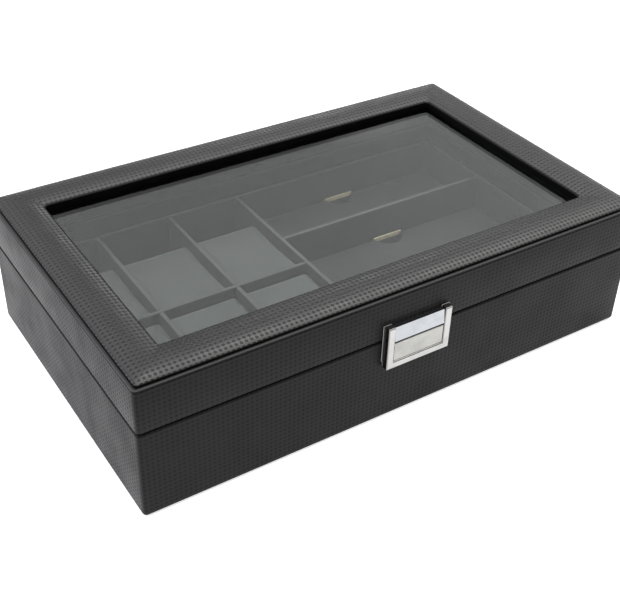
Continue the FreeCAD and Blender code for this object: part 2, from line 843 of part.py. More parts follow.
def build_lid():
    boards = build_walls(
        "lid",
        lid_wall_low,
        board_low,
        prongs("lid_wall_drilling", size("drill_gap")),
        rear_wall_drillings("lid_rear_drilling", lid_low, UP),
    )
    board = rounded_block(
        "lid_board_blank",
        (negative(wall_out_x), negative(wall_out_y), board_low),
        (wall_out_x, wall_out_y, board_top),
        wall_corner,
        lambda middle: True,
    )
    hole_x = plus(window_x, size("skin"))
    hole_y = plus(window_y, size("skin"))
    above = f"(2 * {rim})"
    hole = block("lid_board_hole", (negative(hole_x), negative(hole_y), "0"), (hole_x, hole_y, above))
    top_board = finish(cut("lid_top_board", board, [hole]), "lid_top_board")

    skin = rounded_block(
        "lid_wrap_blank",
        (negative(side), negative(front), lid_low),
        (side, front, rim),
        size("corner_radius"),
        lambda middle: True,
    )
    hollow_low = (negative(wall_in_x), negative(wall_in_y), "0")
    hollow = block("lid_wrap_hollow", hollow_low, (wall_in_x, wall_in_y, board_low))
    lip_x = minus(side, size("rim_lip"))
    lip_y = minus(front, size("rim_lip"))
    mouth = block("lid_wrap_mouth", (negative(lip_x), negative(lip_y), board_low), (lip_x, lip_y, above))
    notches = leaf_notches("lid_notch", size("base_top"), lid_wall_low)
    drillings = prongs("lid_wrap_drilling", size("drill_gap"))
    room = fuse("lid_wrap_room", boards + [top_board, hollow, mouth] + notches + drillings)
    finish(cut("lid_wrap", skin, [room]), "lid_wrap")

    padding = frame_sides("lid_padding", size("skin"), board_top, board_top)
    for word, strip in padding.items():
        finish(strip, f"lid_padding_{word}")
    cover_sides = frame_sides("lid_cover_blank", "0", board_top, board_low)
    blank = fuse("lid_cover_blank", list(cover_sides.values()))
    fill = gather("lid_cover_fill", list(padding.values()) + [top_board])
    finish(cut("lid_cover", blank, [fill]), "lid_cover")


def build_glazing():
    pane = block(
        "glass_pane",
        (negative(glass_x), negative(glass_y), glass_low),
        (glass_x, glass_y, board_low),
    )
    finish(pane, "glass_pane")
    in_x = minus(wall_in_x, size("retainer_width"))
    in_y = minus(wall_in_y, size("retainer_width"))
    for word, low, high in (
        ("front", (negative(wall_in_x), negative(wall_in_y)), (wall_in_x, negative(in_y))),
        ("rear", (negative(wall_in_x), in_y), (wall_in_x, wall_in_y)),
        ("left", (negative(wall_in_x), negative(in_y)), (negative(in_x), in_y)),
        ("right", (in_x, negative(in_y)), (wall_in_x, in_y)),
    ):
        strip = block(f"glass_retainer_{word}", low + (retainer_low,), high + (glass_low,))
        finish(strip, f"glass_retainer_{word}")


build_base()
build_tray()
build_dividers()
build_cushions()
build_mats()
build_lid()
build_glazing()
build_hinges()
build_clasp()
doc.recompute()

failed = [thing.Name for thing in doc.Objects if {"Invalid", "Error"} & set(thing.State)]
if failed:
    raise RuntimeError(f"features failed: {failed}")
for node in nodes:
    if node.Shape.isNull() or not node.Shape.isValid() or not node.Shape.Solids:
        raise RuntimeError(f"no valid solid: {node.Label}")

os.makedirs("parts", exist_ok=True)
for node in nodes:
    node.Shape.exportStep(f"parts/{node.Label}.step")
print(len(nodes), "sub-parts written")
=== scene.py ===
import json
import math

import bmesh
import bpy
from mathutils import Matrix, Vector, noise


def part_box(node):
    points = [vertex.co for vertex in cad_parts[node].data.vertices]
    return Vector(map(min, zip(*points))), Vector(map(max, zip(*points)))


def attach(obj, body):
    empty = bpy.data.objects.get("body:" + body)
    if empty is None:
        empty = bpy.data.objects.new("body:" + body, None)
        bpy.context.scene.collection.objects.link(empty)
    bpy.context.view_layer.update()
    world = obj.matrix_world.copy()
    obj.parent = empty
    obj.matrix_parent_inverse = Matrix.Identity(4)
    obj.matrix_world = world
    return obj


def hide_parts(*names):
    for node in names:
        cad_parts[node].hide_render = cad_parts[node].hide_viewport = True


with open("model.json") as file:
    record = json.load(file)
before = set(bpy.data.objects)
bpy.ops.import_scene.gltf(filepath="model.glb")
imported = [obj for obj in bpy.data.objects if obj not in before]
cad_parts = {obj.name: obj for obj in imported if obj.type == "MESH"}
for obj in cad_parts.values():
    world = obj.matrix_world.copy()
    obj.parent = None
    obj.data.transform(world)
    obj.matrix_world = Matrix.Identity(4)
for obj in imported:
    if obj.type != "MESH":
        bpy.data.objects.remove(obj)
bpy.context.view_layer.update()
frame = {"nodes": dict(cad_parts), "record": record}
nodes = frame["nodes"]

# Lengths are in millimetres unless a comment says otherwise
MM = 0.001
SIDES = ("front", "rear", "left", "right")
CUSHION_COUNT = 6
MAT_COUNT = 3


# Materials

WEAVE_PITCH = 2.8
LEATHER_LEVEL = 0.009
WORN_LEVEL = 0.014
PIT_ROUGHNESS = 0.2
RIM_EDGE_HEIGHT = 54.2
RIM_EDGE_FADE = 0.3
RIM_EDGE_LEVEL = 0.06
RIBBON_PITCH = 0.5
RIBBON_DARK = (0.60, 0.48, 0.28, 1)
RIBBON_PALE = (0.78, 0.68, 0.47, 1)
SUEDE_DARK = (0.038, 0.042, 0.041, 1)
SUEDE_PALE = (0.058, 0.062, 0.060, 1)
GLASS_TINT = (0.93, 0.96, 0.95, 1)

# Shares of a cloth's own level in its brushed patches and fibres, and of a metal's where it is smudged
NAP_DARK = 0.8
NAP_PALE = 1.2
FIBRE_PALE = 1.1
SMUDGE_DARK = 0.88

# Grains to the metre along X, Y and Z: an even finish, and brushing along X
EVEN = (90.0, 90.0, 90.0)
BRUSHED = (40.0, 900.0, 900.0)
COARSE_BRUSHED = (60.0, 600.0, 600.0)
SUEDE_BRUSHED = (60.0, 25.0, 40.0)


class Graph:
    """The node tree of a new material or world, with short calls for the nodes that repeat."""

    def __init__(self, owner, shader="Principled BSDF"):
        owner.use_nodes = True
        self.owner = owner
        self.tree = owner.node_tree
        self.shader = self.tree.nodes[shader]

    def node(self, kind, links=None, **settings):
        made = self.tree.nodes.new(kind)
        for key, setting in settings.items():
            setattr(made, key, setting)
        for socket, source in (links or {}).items():
            self.feed(made.inputs[socket], source)
        return made

    def feed(self, socket, source):
        if isinstance(source, bpy.types.NodeSocket):
            self.tree.links.new(source, socket)
        else:
            socket.default_value = source

    def set(self, **values):
        for key, setting in values.items():
            self.feed(self.shader.inputs[key.replace("_", " ")], setting)

    def math(self, operation, a, b=0.0):
        return self.node("ShaderNodeMath", {0: a, 1: b}, operation=operation).outputs[0]

    def ramp(self, source, low, high, to_low=0.0, to_high=1.0):
        links = {"Value": source, "From Min": low, "From Max": high, "To Min": to_low, "To Max": to_high}
        made = self.node("ShaderNodeMapRange", links, interpolation_type="SMOOTHSTEP")
        return made.outputs["Result"]

    def mix(self, share, first, second):
        made = self.node("ShaderNodeMix", data_type="RGBA")
        self.feed(made.inputs["Factor"], share)
        self.feed(made.inputs["A"], first)
        self.feed(made.inputs["B"], second)
        return made.outputs["Result"]

    def place(self, output="Object"):
        return self.node("ShaderNodeTexCoord").outputs[output]

    def split(self, vector):
        return self.node("ShaderNodeSeparateXYZ", {0: vector}).outputs

    def stretched(self, place, scale):
        return self.node("ShaderNodeMapping", {"Vector": place, "Scale": scale}).outputs["Vector"]

    def noise(self, place, scale, detail=3.0, roughness=0.5):
        links = {"Vector": place, "Scale": scale, "Detail": detail, "Roughness": roughness}
        return self.node("ShaderNodeTexNoise", links).outputs["Fac"]

    def bump(self, height, distance, strength=1.0, after=None):
        links = {"Height": height, "Distance": distance * MM, "Strength": strength}
        if after is not None:
            links["Normal"] = after
        return self.node("ShaderNodeBump", links).outputs["Normal"]


def material_graph(name):
    """The graph of a new material."""
    return Graph(bpy.data.materials.new(name))


def grey(level, warm=0.0):
    """A grey of that level; warm is the share of red added and blue taken away."""
    return (level * (1 + warm), level, level * (1 - warm), 1.0)


def dimmed(colour, share):
    """The colour at a share of its level."""
    return tuple(share * c for c in colour[:3]) + (1,)


def leather_material(name, specular, depth, gloss, pit_lit_share):
    """Imitation leather embossed with a square grid of round pits, from UVs in metres along the skin.

    The pits are depth deep. The leather between them has gloss as its roughness. The pits get painted
    shade in their colour and shine: the last argument is the share of the leather's own that is left there.
    """
    g = material_graph(name)
    uv = g.place("UV")
    along = g.split(uv)
    turn = 2 * math.pi / (WEAVE_PITCH * MM)
    wave_u = g.math("COSINE", g.math("MULTIPLY", along["X"], turn))
    wave_v = g.math("COSINE", g.math("MULTIPLY", along["Y"], turn))
    spread = g.math("ADD", wave_u, wave_v)
    raised = g.ramp(spread, -1.8, 0.2)
    grain = g.noise(uv, scale=2600.0, detail=4.0, roughness=0.6)
    wear = g.noise(uv, scale=38.0, detail=3.0, roughness=0.55)
    # Painted shade: the pits are darker than the raised leather
    colour = g.mix(raised, grey(LEATHER_LEVEL * pit_lit_share), grey(LEATHER_LEVEL, warm=0.01))
    worn = g.mix(g.ramp(wear, 0.45, 0.8, to_high=0.3), colour, grey(WORN_LEVEL, warm=0.015))
    pit_rough = g.ramp(raised, 0.0, 1.0, to_low=gloss + PIT_ROUGHNESS, to_high=gloss)
    wear_rough = g.ramp(wear, 0.3, 0.75, to_low=-0.04, to_high=0.08)
    relief = g.bump(g.ramp(spread, -2.0, 0.5), distance=depth)
    g.set(Base_Color=worn, Roughness=g.math("ADD", pit_rough, wear_rough))
    g.set(Normal=g.bump(grain, distance=0.03, strength=0.6, after=relief))
    # Painted shade on the shine too: the pits' specular tint is darker
    g.set(Specular_IOR_Level=specular, Specular_Tint=g.mix(raised, grey(pit_lit_share), grey(1.0)))
    return g.owner


def tape_and_shade_material():
    """Near-black cloth: real tape round the window's inner edge, partly painted shade there, and painted
    shade in the groove along the cover's outer edge.
    """
    g = material_graph("edge_tape_and_shade")
    thread = g.noise(g.place(), scale=1800.0, detail=4.0, roughness=0.6)
    g.set(Base_Color=g.mix(g.ramp(thread, 0.35, 0.7), grey(0.0015), grey(0.004)))
    g.set(Roughness=g.ramp(thread, 0.3, 0.7, to_low=0.8, to_high=0.95))
    g.set(Normal=g.bump(thread, distance=0.06, strength=0.5), Specular_IOR_Level=0.05)
    return g.owner


def velvet_material(name, level, sheen, top_light_gain=1.0, edge_height=None):
    """Short-pile cloth: a fine fibre grain, brushed patches and sheen.

    A top gain above 1 lightens faces that look up, as painted light from above. An edge_height lightens
    the band above it, where the cloth folds over a rim.
    """
    g = material_graph(name)
    place = g.place()
    fibre = g.noise(place, scale=3200.0, detail=4.0, roughness=0.7)
    nap = g.noise(place, scale=70.0, detail=3.0, roughness=0.6)
    base = g.mix(g.ramp(nap, 0.35, 0.7), grey(level * NAP_DARK), grey(level * NAP_PALE))
    pile = g.mix(g.ramp(fibre, 0.3, 0.7), base, grey(level * FIBRE_PALE))
    # Painted light: faces that look up are lightened as if lit from above
    if top_light_gain > 1.0:
        facing = g.split(g.place("Normal"))["Z"]
        pile = g.mix(g.ramp(facing, 0.4, 0.8), pile, grey(level * top_light_gain))
    if edge_height is not None:
        edge = edge_height * MM
        at_edge = g.ramp(g.split(place)["Z"], edge, edge + RIM_EDGE_FADE * MM)
        pile = g.mix(at_edge, pile, grey(RIM_EDGE_LEVEL))
    g.set(Base_Color=pile, Roughness=g.ramp(fibre, 0.2, 0.8, to_low=0.82, to_high=0.98))
    g.set(Normal=g.bump(fibre, distance=0.04, strength=0.12), Specular_IOR_Level=0.06)
    g.set(Sheen_Weight=sheen, Sheen_Roughness=0.45, Sheen_Tint=grey(0.8))
    return g.owner


def cushion_material():
    """Suede cloth on the watch cushions, lighter than the lining."""
    g = material_graph("cushion_suede")
    place = g.place()
    fibre = g.noise(place, scale=2400.0, detail=5.0, roughness=0.7)
    brushed = g.noise(g.stretched(place, SUEDE_BRUSHED), scale=1.0, detail=3.0, roughness=0.6)
    base = g.mix(g.ramp(brushed, 0.35, 0.7), SUEDE_DARK, SUEDE_PALE)
    g.set(Base_Color=g.mix(g.ramp(fibre, 0.3, 0.75), base, grey(0.08)))
    g.set(Roughness=g.ramp(fibre, 0.2, 0.8, to_low=0.78, to_high=0.95))
    g.set(Normal=g.bump(fibre, distance=0.2, strength=0.8), Specular_IOR_Level=0.2)
    g.set(Sheen_Weight=0.25, Sheen_Roughness=0.5)
    return g.owner


def ribbon_material():
    """Cream satin ribbon with fine cross ribs."""
    g = material_graph("cream_ribbon")
    place = g.place()
    rib = g.math("SINE", g.math("MULTIPLY", g.split(place)["X"], 2 * math.pi / (RIBBON_PITCH * MM)))
    shade = g.noise(place, scale=300.0)
    g.set(Base_Color=g.mix(g.ramp(shade, 0.3, 0.7), RIBBON_DARK, RIBBON_PALE))
    g.set(Roughness=g.ramp(shade, 0.3, 0.7, to_low=0.32, to_high=0.45))
    g.set(Normal=g.bump(rib, distance=0.05, strength=0.7), Sheen_Weight=0.3)
    return g.owner


def metal_material(name, colour, roughness, spread, stretch, side=1.0, side_axis="X"):
    """Plated metal with brushed or smudged roughness; stretch sets the brushing's direction.

    A side below 1 darkens the faces that look along side_axis, as painted shade and painted dark reflection.
    """
    g = material_graph(name)
    place = g.place()
    brushed = g.noise(g.stretched(place, stretch), scale=1.0, detail=4.0, roughness=0.65)
    smudge = g.noise(place, scale=120.0)
    brush_rough = g.ramp(brushed, 0.3, 0.7, to_low=roughness - spread, to_high=roughness + spread)
    smudge_rough = g.ramp(smudge, 0.4, 0.75, to_high=0.05)
    plated = g.mix(g.ramp(smudge, 0.35, 0.75), colour, dimmed(colour, SMUDGE_DARK))
    # Painted shade and dark reflection: faces that look along side_axis are darkened by the side share
    if side < 1.0:
        facing = g.split(g.place("Normal"))[side_axis]
        shaded_side = g.ramp(g.math("ABSOLUTE", facing), 0.5, 0.85)
        plated = g.mix(shaded_side, plated, dimmed(colour, side))
    g.set(Base_Color=plated, Roughness=g.math("ADD", brush_rough, smudge_rough))
    g.set(Metallic=1.0, Normal=g.bump(brushed, distance=0.02, strength=0.4))
    return g.owner


def board_material():
    """Black-stained fibreboard with pale fibre specks."""
    g = material_graph("stained_board")
    fibre = g.noise(g.place(), scale=900.0, detail=5.0, roughness=0.7)
    g.set(Base_Color=g.mix(g.ramp(fibre, 0.5, 0.8), grey(0.012), grey(0.04, warm=0.12)))
    g.set(Roughness=g.ramp(fibre, 0.3, 0.7, to_low=0.75, to_high=0.92))
    g.set(Normal=g.bump(fibre, distance=0.1, strength=0.5))
    return g.owner


def felt_material():
    """Black felt of matted fibres."""
    g = material_graph("black_felt")
    matted = g.noise(g.place(), scale=1400.0, detail=6.0, roughness=0.75)
    g.set(Base_Color=g.mix(g.ramp(matted, 0.35, 0.7), grey(0.008), grey(0.03)))
    g.set(Roughness=g.ramp(matted, 0.3, 0.7, to_low=0.88, to_high=1.0))
    g.set(Normal=g.bump(matted, distance=0.4, strength=0.9), Sheen_Weight=0.3)
    return g.owner


def glass_material():
    """Clear float glass that lets lamp light through to the lining."""
    g = material_graph("window_glass")
    g.set(Base_Color=GLASS_TINT, Transmission_Weight=1.0, IOR=1.5, Roughness=0.0)
    clear = g.node("ShaderNodeBsdfTransparent", {"Color": GLASS_TINT}).outputs[0]
    rays = g.node("ShaderNodeLightPath").outputs
    either = g.math("MAXIMUM", rays["Is Shadow Ray"], rays["Is Diffuse Ray"])
    mixed = g.node("ShaderNodeMixShader", {0: either, 1: g.shader.outputs[0], 2: clear})
    g.feed(g.tree.nodes["Material Output"].inputs["Surface"], mixed.outputs[0])
    return g.owner


wall_leather = leather_material("wall_leather", specular=0.13, depth=0.05, gloss=0.42, pit_lit_share=0.85)
cover_leather = leather_material("cover_leather", specular=0.54, depth=0.2, gloss=0.3, pit_lit_share=0.5)
edge_leather = leather_material("edge_leather", specular=0.45, depth=0.01, gloss=0.36, pit_lit_share=1.0)
edge_tape_and_shade = tape_and_shade_material()
# The lining's upward faces, such as the divider tops, get painted light from above
lining = velvet_material("lining_velvet", level=0.03, sheen=0.25, top_light_gain=2.6)
dark_lining = velvet_material("lid_velvet", level=0.009, sheen=0.0)
rim_lining = velvet_material("rim_velvet", level=0.009, sheen=0.0, edge_height=RIM_EDGE_HEIGHT)
black_lining = velvet_material("black_velvet", level=0.006, sheen=0.1)
suede = cushion_material()
mat_cloth = velvet_material("mat_velvet", level=0.036, sheen=0.25)
ribbon = ribbon_material()
# The chrome housing's sides and the back plate's front face get painted shade and dark reflection
chrome = metal_material("polished_chrome", (0.41, 0.41, 0.40, 1), roughness=0.2, spread=0.03,
                        stretch=EVEN, side=0.3)
plate = metal_material("back_plate", (0.62, 0.61, 0.60, 1), roughness=0.5, spread=0.05,
                       stretch=EVEN, side=0.15, side_axis="Y")
satin = metal_material("satin_nickel", (0.36, 0.36, 0.341, 1), roughness=0.34, spread=0.06,
                       stretch=BRUSHED)
bright = metal_material("bright_panel", (0.37, 0.383, 0.403, 1), roughness=0.18, spread=0.03,
                        stretch=BRUSHED)
steel = metal_material("hinge_steel", (0.58, 0.58, 0.60, 1), roughness=0.28, spread=0.08,
                       stretch=COARSE_BRUSHED)
board = board_material()
felt = felt_material()
glass = glass_material()


# Mesh helpers

CORNER_RADIUS = 2.5
LEAST_RADIUS = 0.15
SIDE_STEPS = 48
CORNER_STEPS = 8


def place_object(name, data):
    """A new object that holds data, linked into the scene."""
    made = bpy.data.objects.new(name, data)
    bpy.context.scene.collection.objects.link(made)
    return made


def mesh_object(name, mesh):
    """A new object from a bmesh, which is freed."""
    data = bpy.data.meshes.new(name)
    mesh.to_mesh(data)
    mesh.free()
    return place_object(name, data)


def finish_piece(name, mesh, material, body, smooth_angle=40.0):
    """An object from a bmesh: smooth below smooth_angle, with its material and body."""
    bmesh.ops.recalc_face_normals(mesh, faces=mesh.faces)
    piece = mesh_object(name, mesh)
    piece.data.materials.append(material)
    piece.data.shade_smooth()
    piece.data.set_sharp_from_angle(angle=math.radians(smooth_angle))
    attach(piece, body)
    return piece


def arc(centre, reach, start, end, steps):
    """Points of an elliptical arc, with angles in degrees from the first axis to the second."""
    points = []
    for step in range(steps + 1):
        angle = math.radians(start + (end - start) * step / steps)
        points.append((centre[0] + reach[0] * math.cos(angle), centre[1] + reach[1] * math.sin(angle)))
    return points


def ring(half_x, half_y, inset, least_radius=LEAST_RADIUS):
    """A rounded rectangle, inset from the outer one, as points in order from the rear right corner."""
    radius = max(CORNER_RADIUS - inset, least_radius)
    corners = []
    for quarter, (sx, sy) in enumerate(((1, 1), (-1, 1), (-1, -1), (1, -1))):
        centre = (sx * (half_x - inset - radius), sy * (half_y - inset - radius))
        start = 90.0 * quarter
        corners.append(arc(centre, (radius, radius), start, start + 90.0, CORNER_STEPS))
    points = []
    for corner, following in zip(corners, corners[1:] + corners[:1]):
        points += corner
        last, first = corner[-1], following[0]
        for step in range(1, SIDE_STEPS):
            share = step / SIDE_STEPS
            points.append((last[0] + (first[0] - last[0]) * share, last[1] + (first[1] - last[1]) * share))
    return points


def running_lengths(points):
    """The distance to each point along a closed line, and the whole length last."""
    lengths = [0.0]
    for a, b in zip(points, points[1:] + points[:1]):
        lengths.append(lengths[-1] + math.dist(a, b))
    return lengths


def sweep_ring(half_x, half_y, section, unrolled, least_radius=LEAST_RADIUS):
    """A closed section of (inset, height) points swept round a rounded rectangle, with UVs in metres.

    Unrolled UVs lay the skin out flat as one sheet seen from above; otherwise they run along the
    perimeter and up the section.
    """
    mesh = bmesh.new()
    layer = mesh.loops.layers.uv.new("weave")
    lengths = running_lengths(section)
    along = running_lengths(ring(half_x, half_y, 0.0))
    rows = []
    for inset, height in section:
        points = ring(half_x, half_y, inset, least_radius)
        rows.append([mesh.verts.new((x * MM, y * MM, height * MM)) for x, y in points])
    flat = [ring(half_x, half_y, section[0][0] + length, least_radius) for length in lengths]
    count = len(rows[0])
    for r in range(len(rows)):
        upper = (r + 1) % len(rows)
        for k in range(count):
            after = (k + 1) % count
            face = mesh.faces.new((rows[r][k], rows[r][after], rows[upper][after], rows[upper][k]))
            steps = ((k, r), (k + 1, r), (k + 1, r + 1), (k, r + 1))
            for loop, (column, row) in zip(face.loops, steps):
                if unrolled:
                    u, v = flat[row][column % count]
                else:
                    u, v = along[column], lengths[row]
                loop[layer].uv = (u * MM, v * MM)
    return mesh


def bridge(mesh, rows):
    """Faces between each closed row of points and the next, and one over each end."""
    count = len(rows[0])
    for lower, upper in zip(rows, rows[1:]):
        for k in range(count):
            after = (k + 1) % count
            mesh.faces.new((lower[k], lower[after], upper[after], upper[k]))
    mesh.faces.new(rows[0])
    mesh.faces.new(rows[-1])


def half_size(node):
    """A node's half width and half depth, and the heights of its bottom and top."""
    low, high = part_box(node)
    return (high.x - low.x) / 2 / MM, (high.y - low.y) / 2 / MM, low.z / MM, high.z / MM


# Leather skins

SKIN = 0.8
BOARD_WALL = 8.5
SKIN_EDGE_RADIUS = 1.3
TURN_ROUND = 0.3
SEAM_GAP = 0.05
RIM_LIP = 2.0
RIM_BEAD = 1.2
BEAD_INSET = 0.1
BEAD_TOP = RIM_BEAD / 3
BEAD_MATERIAL = 1

# Insets of the crease under the bead, with their depths below the bead's foot
CREASE = ((0.0, 0.7), (0.12, 0.25), (0.45, 0.0))


def skin_section(low, high, bottom_turn, top_turn, bead=0.0):
    """A skin wrapped round a wall: turned in under it and over it, with soft outer edges.

    A bead above zero makes the top edge a fine roll of that height with a crease below it.
    """
    edge = SKIN_EDGE_RADIUS
    outer = [(bottom_turn, low)]
    outer += arc((edge, low + edge), (edge, edge), 270.0, 180.0, 6)
    if bead:
        foot = high - bead
        outer += [(inset, foot - depth) for inset, depth in CREASE]
        outer += arc((bead / 2 + BEAD_INSET, high - bead / 2), (bead / 2, bead / 2), 220.0, 90.0, 8)
    else:
        outer += arc((edge, high - edge), (edge, edge), 180.0, 90.0, 6)
    outer += arc((top_turn - TURN_ROUND, high - TURN_ROUND), (TURN_ROUND, TURN_ROUND), 90.0, 0.0, 3)
    inner = [(top_turn, high - SKIN), (SKIN, high - SKIN), (SKIN, low + SKIN), (bottom_turn, low + SKIN)]
    return outer + inner


def make_skins():
    """The leather round base and lid; the top of the lid's bead is smooth leather without pits."""
    turn = SKIN + BOARD_WALL
    half_x, half_y, low, high = half_size("base_wrap")
    section = skin_section(low, high - SEAM_GAP, turn, turn)
    mesh = sweep_ring(half_x, half_y, section, unrolled=False)
    base = finish_piece("base_leather", mesh, wall_leather, "base")
    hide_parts("base_wrap")

    half_x, half_y, low, high = half_size("lid_wrap")
    section = skin_section(low + SEAM_GAP, high, turn, RIM_LIP, RIM_BEAD)
    mesh = sweep_ring(half_x, half_y, section, unrolled=False)
    for face in mesh.faces:
        if face.calc_center_median().z / MM > high - BEAD_TOP:
            face.material_index = BEAD_MATERIAL
    lid = finish_piece("lid_leather", mesh, wall_leather, "lid")
    lid.data.materials.append(edge_leather)
    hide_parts("lid_wrap")


# The lid's padded cover

FRAME_WIDTH = 25.4
WINDOW_CORNER = 2.2
COVER_TUCK = 1.6
TUCK_FOLD = (0.5, 0.3)
COVER_GAP = 0.1
SHOULDER_RISE = 1.5
CROWN_AT = 13.0
SLOPE_STEPS = 8
INNER_DROP = 1.7
ROLL_RADIUS = 1.6

# Unevenness of the stretched leather: swells to the metre with their heights, and how far all of it sinks
SWELLS = ((22.0, 0.25), (70.0, 0.10))
SWELL_SINK = 0.2

# The tape, which also paints shade, and the plainer leather: their places in the cover's list of materials,
# how far they reach from the window or the outer edge, and how steep a face has to be
TAPE_AND_SHADE_MATERIAL = 1
PLAIN_MATERIAL = 2
TAPE_AND_SHADE_REACH = 0.5
TAPE_AND_SHADE_DROP = 2.2
TAPE_AND_SHADE_STEEP = 0.5
GROOVE_REACH = 5.0
GROOVE_STEEP = 0.42
ROLL_REACH = 2.0
ROLL_STEEP = 0.05


def cover_section(low, board_top, crown_top, inner_top):
    """The padded frame: tucked under at the outer rim, crowned, rolled over the window's edge."""
    tuck = RIM_LIP + COVER_TUCK
    bulge = RIM_LIP + COVER_GAP
    shoulder = board_top + SHOULDER_RISE
    roll_at = FRAME_WIDTH - ROLL_RADIUS
    outer = [(tuck, board_top), (tuck - TUCK_FOLD[0], board_top + TUCK_FOLD[1])]
    outer += arc((CROWN_AT, shoulder), (CROWN_AT - bulge, crown_top - shoulder), 190.0, 90.0, 16)
    for step in range(1, SLOPE_STEPS):
        share = step / SLOPE_STEPS
        drop = (crown_top - inner_top) * share ** 2
        outer.append((CROWN_AT + (roll_at - CROWN_AT) * share, crown_top - drop))
    outer += arc((roll_at, inner_top - ROLL_RADIUS), (ROLL_RADIUS, ROLL_RADIUS), 90.0, 0.0, 6)
    inner = [(FRAME_WIDTH, low), (FRAME_WIDTH - SKIN, low), (FRAME_WIDTH - SKIN, board_top)]
    return outer + inner


def near_window(place, window, reach):
    """Whether a point lies within reach of the window's opening, seen from above."""
    return abs(place.x) < window[0] + reach * MM and abs(place.y) < window[1] + reach * MM


def make_cover():
    """The one-piece padded cover of the lid's frame, slightly uneven as stretched leather is."""
    half_x, half_y, _, _ = half_size("lid_wrap")
    low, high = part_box("lid_cover")
    board_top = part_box("lid_top_board")[1].z / MM
    section = cover_section(low.z / MM, board_top, high.z / MM, high.z / MM - INNER_DROP)
    mesh = sweep_ring(half_x, half_y, section, unrolled=True, least_radius=WINDOW_CORNER)
    for vert in mesh.verts:
        lift = max(0.0, vert.co.z / MM - board_top) / (high.z / MM - board_top)
        swell = sum(noise.noise(vert.co * scale) * height for scale, height in SWELLS) - SWELL_SINK
        vert.co.z += swell * lift * MM
    window = (half_x - FRAME_WIDTH) * MM, (half_y - FRAME_WIDTH) * MM
    groove_x = half_x * MM - GROOVE_REACH * MM
    groove_y = half_y * MM - GROOVE_REACH * MM
    mesh.normal_update()
    for face in mesh.faces:
        middle = face.calc_center_median()
        steep = 1.0 - abs(face.normal.z)
        below_roll = near_window(middle, window, TAPE_AND_SHADE_REACH) and middle.z < high.z - TAPE_AND_SHADE_DROP * MM
        in_groove = abs(middle.x) > groove_x or abs(middle.y) > groove_y
        # Painted shade: steep faces in the outer groove get the near-black tape over a lamp's glint; below
        # the window's roll the tape is partly real and partly painted shade
        if (below_roll and steep > TAPE_AND_SHADE_STEEP) or (in_groove and steep > GROOVE_STEEP):
            face.material_index = TAPE_AND_SHADE_MATERIAL
        elif near_window(middle, window, ROLL_REACH) and steep > ROLL_STEEP:
            face.material_index = PLAIN_MATERIAL
    cover = finish_piece("lid_cover_leather", mesh, cover_leather, "lid", smooth_angle=60.0)
    cover.data.materials.append(edge_tape_and_shade)
    cover.data.materials.append(wall_leather)
    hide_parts("lid_cover", *[f"lid_padding_{side}" for side in SIDES])


# Watch cushions

CUSHION_START = 0.3
CUSHION_CAP = 0.6
CUSHION_VOXEL = 1.5
CUSHION_ROUND = 2.0
CUSHION_PRESSURE = 4.0
CLOTH_FRAMES = 16
SMOOTH_PASSES = 2


def cushion_shell(size):
    """A rounded block a little smaller than the cushion, remeshed for the cloth, at the origin."""
    mesh = bmesh.new()
    bmesh.ops.create_cube(mesh, size=1.0)
    start = [s - 2 * CUSHION_START * MM for s in size]
    bmesh.ops.scale(mesh, vec=start, verts=mesh.verts)
    bmesh.ops.bevel(mesh, geom=mesh.edges, offset=CUSHION_ROUND * MM, segments=4, profile=0.5, affect="EDGES")
    shell = mesh_object("cushion_start", mesh)
    remesh = shell.modifiers.new("voxels", "REMESH")
    remesh.voxel_size = CUSHION_VOXEL * MM
    return shell


def evaluated_points(piece):
    """The points of a piece with its modifiers applied."""
    graph = bpy.context.evaluated_depsgraph_get()
    return [v.co.copy() for v in piece.evaluated_get(graph).data.vertices]


def inflate(shell):
    """Swells the shell as stuffed cloth, and returns the swollen points, capped, and its faces."""
    graph = bpy.context.evaluated_depsgraph_get()
    data = bpy.data.meshes.new_from_object(shell.evaluated_get(graph))
    old = shell.data
    shell.modifiers.clear()
    shell.data = data
    bpy.data.meshes.remove(old)
    before = [v.co.copy() for v in data.vertices]
    after = before
    cloth = shell.modifiers.new("cloth", "CLOTH")
    cloth.settings.use_pressure = True
    cloth.settings.uniform_pressure_force = CUSHION_PRESSURE
    cloth.settings.effector_weights.gravity = 0.0
    for number in range(1, CLOTH_FRAMES + 1):
        bpy.context.scene.frame_set(number)
    after = evaluated_points(shell)
    bpy.context.scene.frame_set(1)
    shell.modifiers.clear()
    points = []
    for start, end in zip(before, after):
        step = end - start
        if step.length > CUSHION_CAP * MM:
            step *= CUSHION_CAP * MM / step.length
        points.append(start + step)
    faces = [tuple(p.vertices) for p in data.polygons]
    return points, faces


def make_cushions():
    """Six covers from one inflated shell, each flat where it rests on the tray."""
    low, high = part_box("watch_cushion_1")
    shell = cushion_shell(high - low)
    points, faces = inflate(shell)
    bpy.data.objects.remove(shell)
    for number in range(1, CUSHION_COUNT + 1):
        name = f"watch_cushion_{number}"
        low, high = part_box(name)
        centre = (low + high) / 2
        mesh = bmesh.new()
        verts = []
        for point in points:
            place = point + centre
            place.z = max(place.z, low.z)
            verts.append(mesh.verts.new(place))
        for face in faces:
            mesh.faces.new([verts[i] for i in face])
        bmesh.ops.subdivide_edges(mesh, edges=mesh.edges, cuts=1, use_grid_fill=True, smooth=0.0)
        for _ in range(SMOOTH_PASSES):
            bmesh.ops.smooth_vert(mesh, verts=mesh.verts, factor=0.5, use_axis_x=True, use_axis_y=True,
                                  use_axis_z=True)
        cushion = finish_piece(f"{name}_cover", mesh, suede, name, smooth_angle=180.0)
        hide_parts(name)


# Glasses mats and their ribbon tabs

